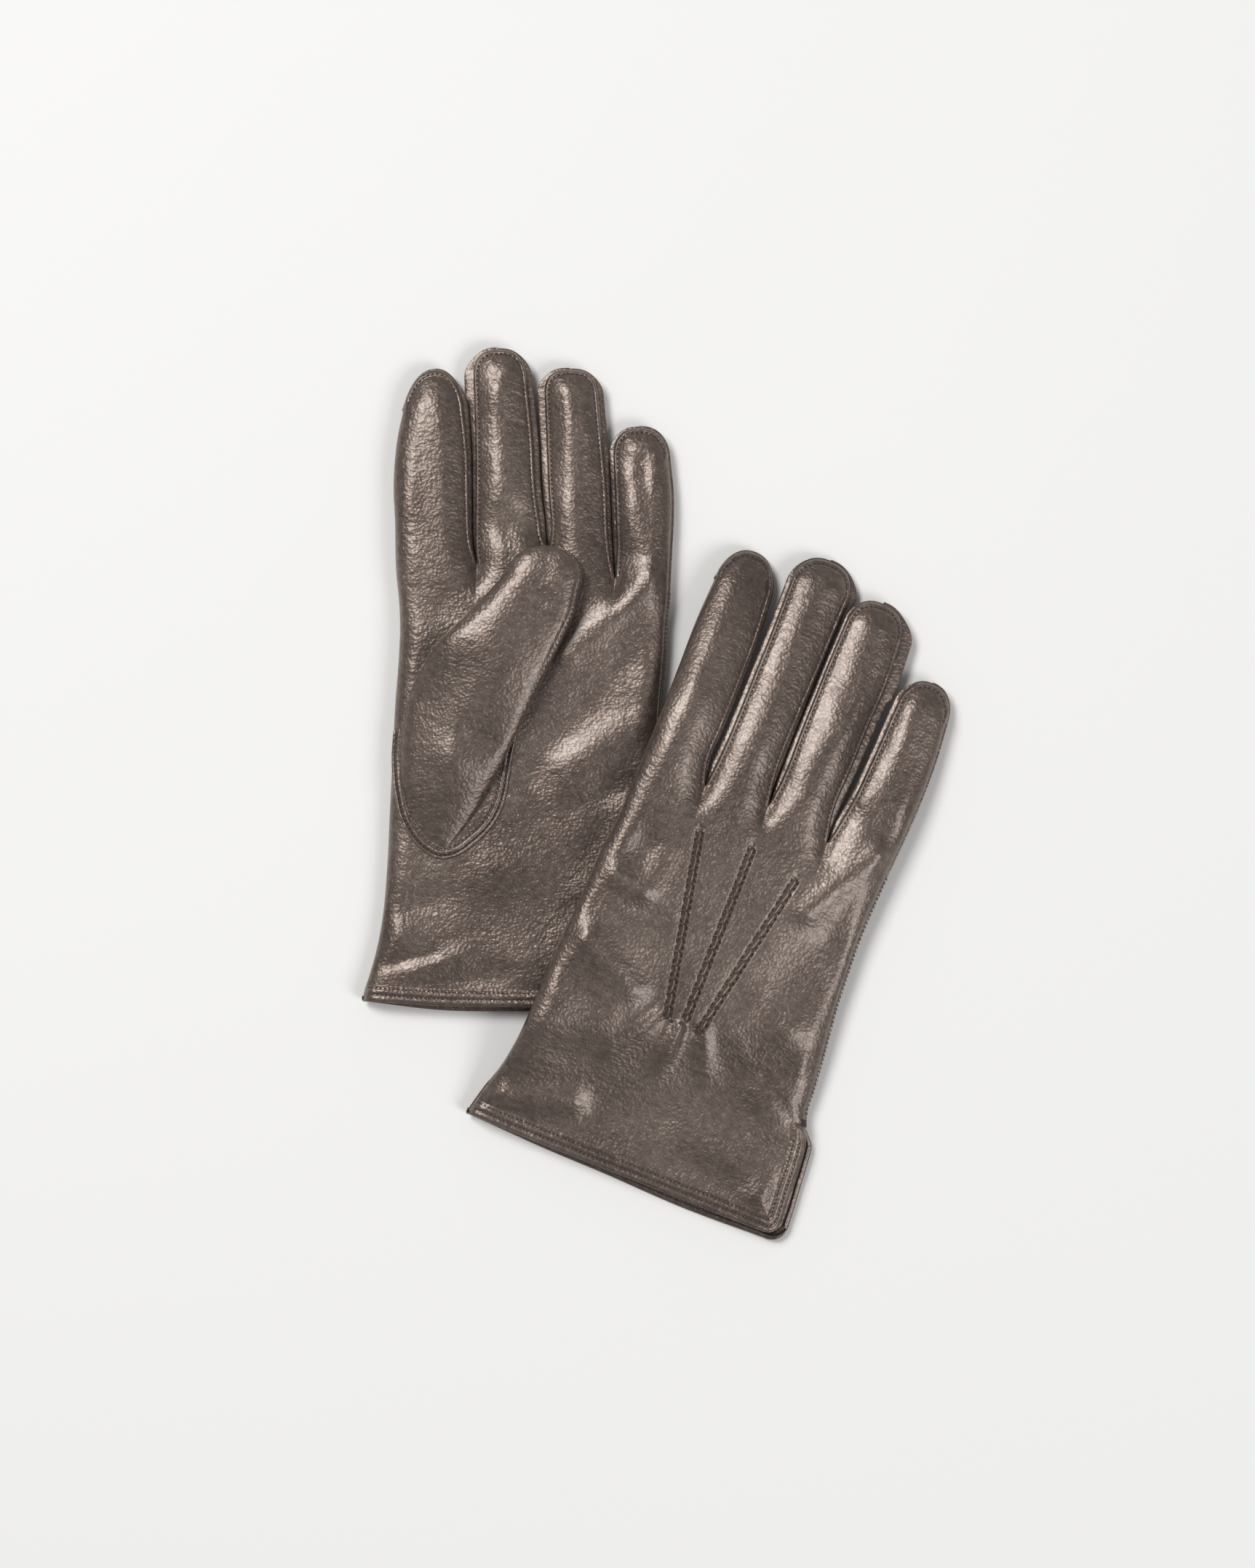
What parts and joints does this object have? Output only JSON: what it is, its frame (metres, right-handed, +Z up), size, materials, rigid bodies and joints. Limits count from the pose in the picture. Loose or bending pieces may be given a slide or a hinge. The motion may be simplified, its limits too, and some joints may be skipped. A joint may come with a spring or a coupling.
{
  "type": "pair of leather dress gloves",
  "caption": "Pair of lined leather dress gloves lying flat, one palm up and one palm down across its cuff, with stitched points on the back and a bound side slit.",
  "frame": {"origin": "centre of the bounding box in plan, on the surface that the pair lies on", "axes": "+Y from the left glove's cuff to its fingertips, +X from the left glove to the right one, +Z up from the surface"},
  "size_m": [0.2152, 0.3259, 0.0251],
  "materials": {
    "leather": "fine grain with a metallic bronze sheen",
    "lining": "brushed knit",
    "binding": "fine grain with a metallic bronze sheen",
    "thread": "fine sewing thread"
  },
  "bodies": {
    "left_hand": {"left_cuff_hem": "leather", "left_outseam": "leather", "left_palm_lining": "lining", "left_points": "leather", "left_quirks": "leather", "left_thumb_root": "leather", "left_thumb_welt": "leather", "left_trank": "leather", "left_vent_binding": "binding", "left_vent_tack": "thread"},
    "left_index": {"left_index_fourchette_little_side": "leather", "left_index_lining": "lining", "left_index_stall": "leather"},
    "left_middle": {"left_middle_fourchette_index_side": "leather", "left_middle_fourchette_little_side": "leather", "left_middle_lining": "lining", "left_middle_stall": "leather"},
    "left_ring": {"left_ring_fourchette_index_side": "leather", "left_ring_fourchette_little_side": "leather", "left_ring_lining": "lining", "left_ring_stall": "leather"},
    "left_little": {"left_little_fourchette_index_side": "leather", "left_little_lining": "lining", "left_little_stall": "leather"},
    "left_thumb": {"left_thumb_stall": "leather", "left_thumb_lining": "lining"},
    "right_hand": {"right_cuff_hem": "leather", "right_outseam": "leather", "right_palm_lining": "lining", "right_points": "leather", "right_quirks": "leather", "right_thumb_root": "leather", "right_thumb_welt": "leather", "right_trank": "leather", "right_vent_binding": "binding", "right_vent_tack": "thread"},
    "right_index": {"right_index_fourchette_little_side": "leather", "right_index_lining": "lining", "right_index_stall": "leather"},
    "right_middle": {"right_middle_fourchette_index_side": "leather", "right_middle_fourchette_little_side": "leather", "right_middle_lining": "lining", "right_middle_stall": "leather"},
    "right_ring": {"right_ring_fourchette_index_side": "leather", "right_ring_fourchette_little_side": "leather", "right_ring_lining": "lining", "right_ring_stall": "leather"},
    "right_little": {"right_little_fourchette_index_side": "leather", "right_little_lining": "lining", "right_little_stall": "leather"},
    "right_thumb": {"right_thumb_stall": "leather", "right_thumb_lining": "lining"}
  },
  "joints": [
    {"name": "right_lift", "type": "slide", "parent": "left_hand", "child": "right_hand", "axis": [0, 0, 1], "range_m": [0, 0.12]},
    {"name": "left_index_fold", "type": "hinge", "parent": "left_hand", "child": "left_index", "pos_m": [-0.08122, 0.09933, 0.006], "axis": [1, 0, 0], "range_deg": [0, 78]},
    {"name": "left_middle_fold", "type": "hinge", "parent": "left_hand", "child": "left_middle", "pos_m": [-0.05312, 0.09933, 0.006], "axis": [1, 0, 0], "range_deg": [0, 78]},
    {"name": "left_ring_fold", "type": "hinge", "parent": "left_hand", "child": "left_ring", "pos_m": [-0.02672, 0.09933, 0.006], "axis": [1, 0, 0], "range_deg": [0, 78]},
    {"name": "left_little_fold", "type": "hinge", "parent": "left_hand", "child": "left_little", "pos_m": [-0.00412, 0.09033, 0.006], "axis": [1, 0, 0], "range_deg": [0, 78]},
    {"name": "left_thumb_fold", "type": "hinge", "parent": "left_hand", "child": "left_thumb", "pos_m": [-0.07072, 0.02793, 0.0177], "axis": [0.8796, -0.4756, 0], "range_deg": [0, 70]},
    {"name": "right_index_fold", "type": "hinge", "parent": "right_hand", "child": "right_index", "pos_m": [0.01636, 0.03629, 0.01833], "axis": [0.9276, -0.3561, -0.1132], "range_deg": [0, 45]},
    {"name": "right_middle_fold", "type": "hinge", "parent": "right_hand", "child": "right_middle", "pos_m": [0.03992, 0.02724, 0.01545], "axis": [0.9276, -0.3561, -0.1132], "range_deg": [0, 45]},
    {"name": "right_ring_fold", "type": "hinge", "parent": "right_hand", "child": "right_ring", "pos_m": [0.06413, 0.01795, 0.0125], "axis": [0.9276, -0.3561, -0.1132], "range_deg": [0, 45]},
    {"name": "right_little_fold", "type": "hinge", "parent": "right_hand", "child": "right_little", "pos_m": [0.08493, 0.00032, 0.00957], "axis": [0.9276, -0.3561, -0.1132], "range_deg": [0, 45]},
    {"name": "right_thumb_fold", "type": "hinge", "parent": "right_hand", "child": "right_thumb", "pos_m": [0.00715, -0.04052, 0.00691], "axis": [-0.7375, 0.667, 0.1057], "range_deg": [0, 35]}
  ]
}
